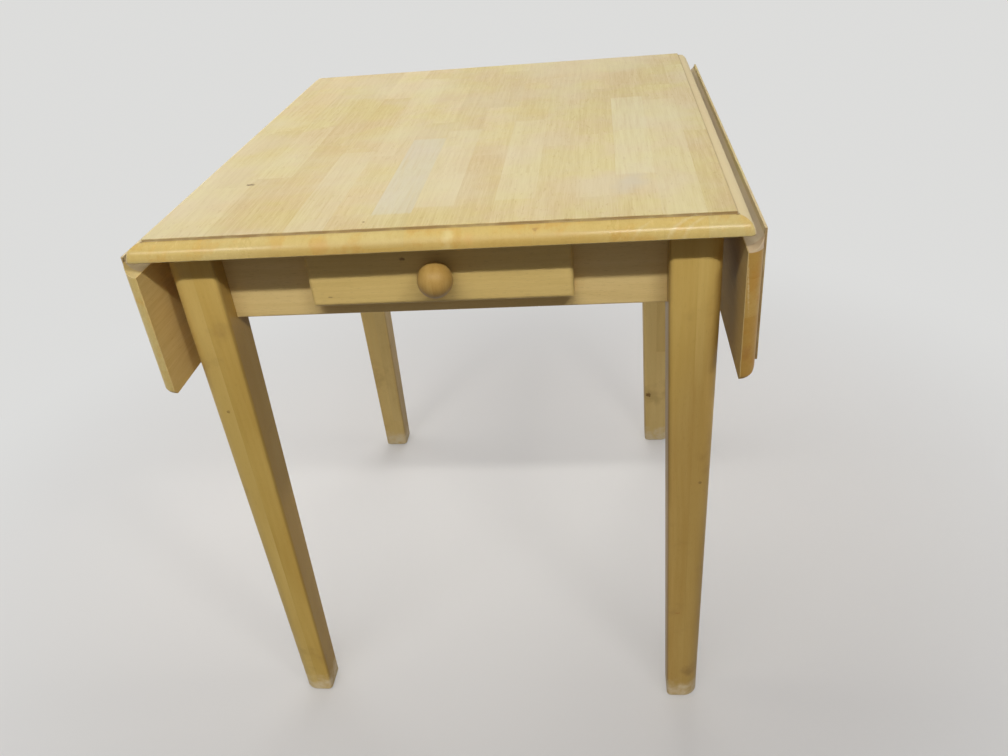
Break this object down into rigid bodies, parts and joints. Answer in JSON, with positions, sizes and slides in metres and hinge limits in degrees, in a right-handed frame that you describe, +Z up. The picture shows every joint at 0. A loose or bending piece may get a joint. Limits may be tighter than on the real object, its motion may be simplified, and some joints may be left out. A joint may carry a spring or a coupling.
{
  "type": "pembroke table",
  "caption": "Wooden drop-leaf table on tapered square legs, with a shallow knobbed drawer in one end and hanging side leaves on rule joints that lift level onto hinged props.",
  "frame": {"origin": "on the floor under the centre of the table", "axes": "+Z up; -Y is the drawer end, towards which the drawer opens; +X is the right-hand leaf's side seen from the drawer"},
  "size_m": [0.672, 0.734, 0.75],
  "materials": {
    "top_wood": "worn clear lacquer on finger-jointed staves",
    "leg_wood": "satin clear lacquer",
    "rail_wood": "satin clear lacquer",
    "drawer_wood": "satin clear lacquer",
    "knob_wood": "gloss clear lacquer",
    "inner_wood": "bare planed wood",
    "plywood": "bare thin plywood",
    "hinge_steel": "brass-plated",
    "fastener_steel": "zinc-plated"
  },
  "bodies": {
    "frame": {"tabletop": "top_wood", "leg_front_left": "leg_wood", "leg_front_right": "leg_wood", "leg_rear_left": "leg_wood", "leg_rear_right": "leg_wood", "front_rail": "rail_wood", "rear_rail": "rail_wood", "left_rail": "rail_wood", "right_rail": "rail_wood", "corner_block_front_left": "inner_wood", "corner_block_front_right": "inner_wood", "corner_block_rear_left": "inner_wood", "corner_block_rear_right": "inner_wood", "drawer_runner_left": "inner_wood", "drawer_guide_left": "inner_wood", "drawer_kicker_left": "inner_wood", "prop_cheek_front_left": "inner_wood", "prop_cheek_rear_left": "inner_wood", "hinge_top_flap_front_left": "hinge_steel", "hinge_pin_front_left": "hinge_steel", "hinge_top_flap_rear_left": "hinge_steel", "hinge_pin_rear_left": "hinge_steel", "prop_pin_left": "fastener_steel", "drawer_runner_right": "inner_wood", "drawer_guide_right": "inner_wood", "drawer_kicker_right": "inner_wood", "prop_cheek_front_right": "inner_wood", "prop_cheek_rear_right": "inner_wood", "hinge_top_flap_front_right": "hinge_steel", "hinge_pin_front_right": "hinge_steel", "hinge_top_flap_rear_right": "hinge_steel", "hinge_pin_rear_right": "hinge_steel", "prop_pin_right": "fastener_steel", "hanger_bolts": "fastener_steel", "bolt_washers": "fastener_steel", "wing_nuts": "fastener_steel", "hinge_top_screws": "fastener_steel", "top_bracket_screws": "fastener_steel", "prop_cheek_screws": "fastener_steel", "top_brackets": "fastener_steel"},
    "drawer": {"drawer_front": "drawer_wood", "drawer_side_left": "inner_wood", "drawer_side_right": "inner_wood", "drawer_back": "inner_wood", "drawer_bottom": "plywood", "drawer_knob": "knob_wood", "knob_screw": "fastener_steel"},
    "leaf_left": {"leaf_left": "top_wood", "hinge_leaf_flap_front_left": "hinge_steel", "hinge_leaf_flap_rear_left": "hinge_steel", "hinge_leaf_screws_left": "fastener_steel", "prop_cleat_left": "inner_wood"},
    "prop_left": {"prop_arm_left": "inner_wood"},
    "leaf_right": {"leaf_right": "top_wood", "hinge_leaf_flap_front_right": "hinge_steel", "hinge_leaf_flap_rear_right": "hinge_steel", "hinge_leaf_screws_right": "fastener_steel", "prop_cleat_right": "inner_wood"},
    "prop_right": {"prop_arm_right": "inner_wood"}
  },
  "joints": [
    {"name": "drawer_slide", "type": "slide", "parent": "frame", "child": "drawer", "axis": [0, -1, 0], "range_m": [0, 0.25]},
    {"name": "leaf_left_hinge", "type": "hinge", "parent": "frame", "child": "leaf_left", "pos_m": [-0.3115, 0, 0.7255], "axis": [0, 1, 0], "range_deg": [0, 90]},
    {"name": "prop_left_hinge", "type": "hinge", "parent": "frame", "child": "prop_left", "pos_m": [-0.284, 0, 0.672], "axis": [0, 1, 0], "range_deg": [0, 125]},
    {"name": "leaf_right_hinge", "type": "hinge", "parent": "frame", "child": "leaf_right", "pos_m": [0.3115, 0, 0.7255], "axis": [0, -1, 0], "range_deg": [0, 90]},
    {"name": "prop_right_hinge", "type": "hinge", "parent": "frame", "child": "prop_right", "pos_m": [0.284, 0, 0.672], "axis": [0, -1, 0], "range_deg": [0, 125]}
  ],
  "couplings": [
    {"joint": "prop_left_hinge", "follows": "leaf_left_hinge", "ratio": 1.3888},
    {"joint": "prop_right_hinge", "follows": "leaf_right_hinge", "ratio": 1.3888}
  ]
}
